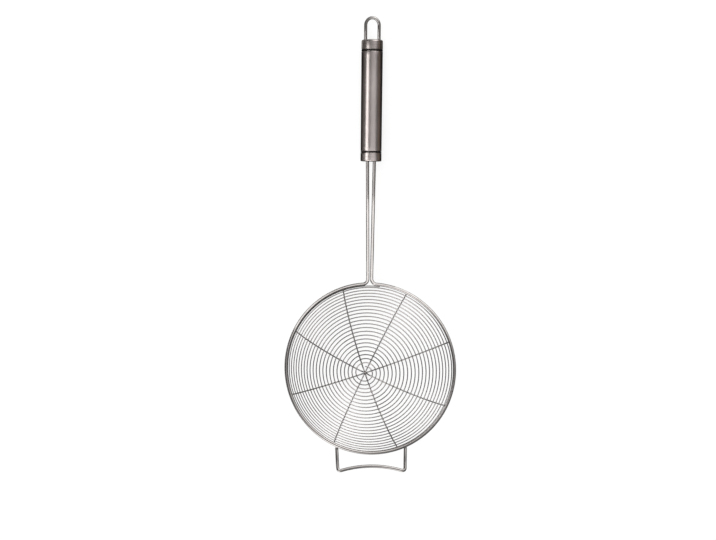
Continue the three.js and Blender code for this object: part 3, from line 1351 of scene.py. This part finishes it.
@dataclass(frozen=True)
class Panel:
    """A soft panel of light, which the dome and the cards stand for in reflections."""

    name: str
    place: Triple
    target: Triple
    size: tuple[float, float]
    watts: float
    colour: Triple

    def hang(self) -> bpy.types.Object:
        """Hangs the panel.

        Returns:
            The lamp.
        """
        lamp = bpy.data.lights.new(self.name, "AREA")
        lamp.shape = "RECTANGLE"
        lamp.size, lamp.size_y = self.size
        lamp.energy = self.watts
        lamp.color = self.colour
        thing = bpy.data.objects.new(self.name, lamp)
        thing.location = self.place
        thing.rotation_mode = "QUATERNION"
        thing.rotation_quaternion = (Vector(self.target) - Vector(self.place)).to_track_quat("-Z", "Y")
        thing.visible_camera = False
        thing.visible_glossy = False
        bpy.context.scene.collection.objects.link(thing)
        return thing


@dataclass(frozen=True)
class Card:
    """A light or dark card that only shows in reflections."""

    name: str
    place: Triple
    target: Triple
    size: tuple[float, float]
    tone: Triple

    def hang(self) -> bpy.types.Object:
        """Holds the card up, facing its target.

        Returns:
            The card.
        """
        mesh = bmesh.new()
        bmesh.ops.create_grid(mesh, x_segments=1, y_segments=1, size=0.5)
        facing = Vector(self.target) - Vector(self.place)
        turn = facing.to_track_quat("Z", "Y").to_matrix().to_4x4()
        shape = Matrix.Translation(self.place) @ turn @ Matrix.Diagonal((*self.size, 1.0, 1.0))
        bmesh.ops.transform(mesh, matrix=shape, verts=mesh.verts)
        thing = mesh_object(self.name, mesh)
        material, shop = new_material(self.name)
        shop.surface(shop.node("ShaderNodeEmission", inputs={"Color": (*self.tone, 1.0)}).signal())
        thing.data.materials.append(material)
        only_reflected(thing)
        return thing


@dataclass
class Studio:
    """Floor, surround, light and camera, in metres."""

    floor_size: float = 8.0
    floor_colour: float = 0.25
    floor_glow: float = 0.79
    sky: float = 0.72
    dome_size: float = 6.0
    dome_detail: int = 3
    dome_light: float = 4.7
    dome_dark: float = 0.10
    dome_turn: float = -25.0
    dome_colour: Triple = (1.0, 0.975, 0.97)
    grip_middle: Triple = (0.0, 0.085, 0.016)
    neck_middle: Triple = (0.0, 0.0, 0.022)
    flag_along: float = 0.1
    flag_length: float = 0.24
    flag_tone: Triple = (0.035, 0.032, 0.03)
    sensor_width: float = 36.0  # millimetres, as Blender has it
    clip_end: float = 50.0

    def world(self) -> None:
        """Sets an even pale surround."""
        world = bpy.data.worlds.new("studio")
        world.use_nodes = True
        bpy.context.scene.world = world
        shop = NodeShop(world.node_tree)
        inputs = {"Color": (self.sky, self.sky, self.sky, 1.0), "Strength": 1.0}
        sky = shop.node("ShaderNodeBackground", inputs=inputs).signal()
        shop.node("ShaderNodeOutputWorld", inputs={"Surface": sky})

    def floor(self) -> bpy.types.Object:
        """Lays a pale floor that keeps the shadow.

        Returns:
            The floor.
        """
        mesh = bmesh.new()
        bmesh.ops.create_grid(mesh, x_segments=1, y_segments=1, size=self.floor_size)
        thing = mesh_object("floor", mesh)
        material, shop = new_material("pale_floor")
        grey = (self.floor_colour, self.floor_colour, self.floor_colour, 1.0)
        matt = shop.node("ShaderNodeBsdfDiffuse", inputs={"Color": grey}).signal()
        path = shop.node("ShaderNodeLightPath")
        mirrored_ray = path.signal("Is Glossy Ray") + path.signal("Is Transmission Ray")
        seen = (path.signal("Is Camera Ray") + mirrored_ray).at_most(1.0)
        strength = seen * self.floor_glow
        glow = shop.node("ShaderNodeEmission", inputs={"Strength": strength}).signal()
        shop.surface(shop.node("ShaderNodeAddShader", inputs={0: matt, 1: glow}).signal())
        thing.data.materials.append(material)
        return thing

    def dome(self) -> bpy.types.Object:
        """Puts up the reflected studio: a low bank of light at each end, dark above and at the two sides.

        Returns:
            The dome.
        """
        mesh = bmesh.new()
        bmesh.ops.create_icosphere(mesh, subdivisions=self.dome_detail, radius=self.dome_size)
        thing = mesh_object("dome", mesh)
        thing.rotation_euler.z = math.radians(self.dome_turn)
        material, shop = new_material("dome")
        parts = shop.node("ShaderNodeSeparateXYZ", inputs={"Vector": shop.object_place()})
        across = parts.signal("X") * (1 / self.dome_size)
        above = parts.signal("Z") * (1 / self.dome_size)
        facing = 1 - across * across
        squared = facing * facing
        bank = squared * squared * squared * (1 - above * above)
        level = bank * (self.dome_light - self.dome_dark) + self.dome_dark
        inputs = {"Color": (*self.dome_colour, 1.0), "Strength": level}
        shop.surface(shop.node("ShaderNodeEmission", inputs=inputs).signal())
        thing.data.materials.append(material)
        only_reflected(thing)
        return thing

    def key_panel(self) -> Panel:
        """The lamp, high up on the left."""
        return Panel(
            name="key_panel",
            place=(-0.7, 0.4, 1.7),
            target=(0.0, 0.0, 0.02),
            size=(1.3, 1.3),
            watts=16.0,
            colour=(1.0, 0.98, 0.97),
        )

    def bright_cards(self) -> list[Card]:
        """What the grip and the neck mirror: a bright strip on the left and two pale cards above.

        Returns:
            The cards.
        """
        return [
            Card(
                name="strip_card",
                place=(-0.108, 0.0875, 0.092),
                target=self.grip_middle,
                size=(0.235, 0.06),
                tone=(3.4, 3.33, 3.29),
            ),
            Card(
                name="top_card",
                place=(0.03, 0.085, 0.15),
                target=self.grip_middle,
                size=(0.21, 0.13),
                tone=(1.0, 0.98, 0.975),
            ),
            Card(
                name="neck_card",
                place=(0.02, 0.0, 0.14),
                target=self.neck_middle,
                size=(0.1, 0.24),
                tone=(2.6, 2.52, 2.48),
            ),
        ]

    def flag(self, name: str, across: float, low: float, high: float, tone: Triple) -> Card:
        """A dim card that stands beside the grip and keeps the pale floor out of its flank.

        Args:
            name: of the card.
            across: its distance from the grip's middle.
            low: height of its lower edge.
            high: height of its upper edge.
            tone: its brightness.

        Returns:
            The card.
        """
        height = (low + high) / 2
        return Card(
            name=name,
            place=(across, self.flag_along, height),
            target=(0.0, self.flag_along, height),
            size=(self.flag_length, high - low),
            tone=tone,
        )

    def dark_cards(self) -> list[Card]:
        """What keeps the flanks of the grip dark.

        Returns:
            Cards on both sides of the grip and one under it.
        """
        return [
            self.flag("right_card", 0.032, 0.019, 0.034, (0.25, 0.195, 0.15)),
            self.flag("right_foot", 0.032, 0.0, 0.019, self.flag_tone),
            self.flag("left_card", -0.03, 0.009, 0.022, (0.2, 0.185, 0.178)),
            self.flag("left_foot", -0.03, 0.0, 0.009, self.flag_tone),
            # Painted shade: a dark sheet on the floor under the grip, seen only in reflections, stands in for
            # the shaded floor that the grip's underside mirrors.
            Card(
                name="shade_sheet_under_grip",
                place=(0.0, self.flag_along, 0.0008),
                target=(0.0, self.flag_along + 0.001, 0.1),
                size=(0.07, self.flag_length),
                tone=self.flag_tone,
            ),
        ]

    def camera(self, view: View) -> bpy.types.Object:
        """Sets up the camera at the photograph's angle.

        Args:
            view: the photograph's viewpoint.

        Returns:
            The camera.
        """
        lens = bpy.data.cameras.new("camera")
        lens.sensor_width = self.sensor_width
        lens.lens = view.focal_pixels * self.sensor_width / PHOTO_WIDTH
        lens.clip_end = self.clip_end
        thing = bpy.data.objects.new("camera", lens)
        thing.matrix_world = view.matrix()
        bpy.context.scene.collection.objects.link(thing)
        bpy.context.scene.camera = thing
        return thing

    def build(self, view: View) -> None:
        """Builds everything round the object.

        Args:
            view: the photograph's viewpoint.
        """
        self.world()
        self.floor()
        self.dome()
        for prop in (self.key_panel(), *self.bright_cards(), *self.dark_cards()):
            prop.hang()
        self.camera(view)
        bpy.context.scene.view_settings.view_transform = "Standard"


def main() -> None:
    """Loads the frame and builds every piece."""
    logging.basicConfig(level=logging.INFO, format="%(name)s: %(message)s")
    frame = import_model()
    LOG.info("frame with %d solids", len(frame["nodes"]))
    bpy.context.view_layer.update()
    pose = RestPose()
    rim = RimAndNeck()
    bowl = Bowl(rim)
    rest = PotRest(bowl)
    Studio().build(View(Vector(pose.shift)))
    finishes = make_finishes(rim.rise_degrees - pose.tip_degrees)
    rim.build(pose, finishes[Slot.FRAME_WIRE])
    bowl.build(pose, finishes[Slot.MESH_WIRE])
    rest.build(pose, finishes[Slot.FRAME_WIRE])
    Grip(rim).build(pose, finishes)
    Welds(rest).build(pose, finishes[Slot.MESH_WIRE])


if __name__ == "__main__":
    main()
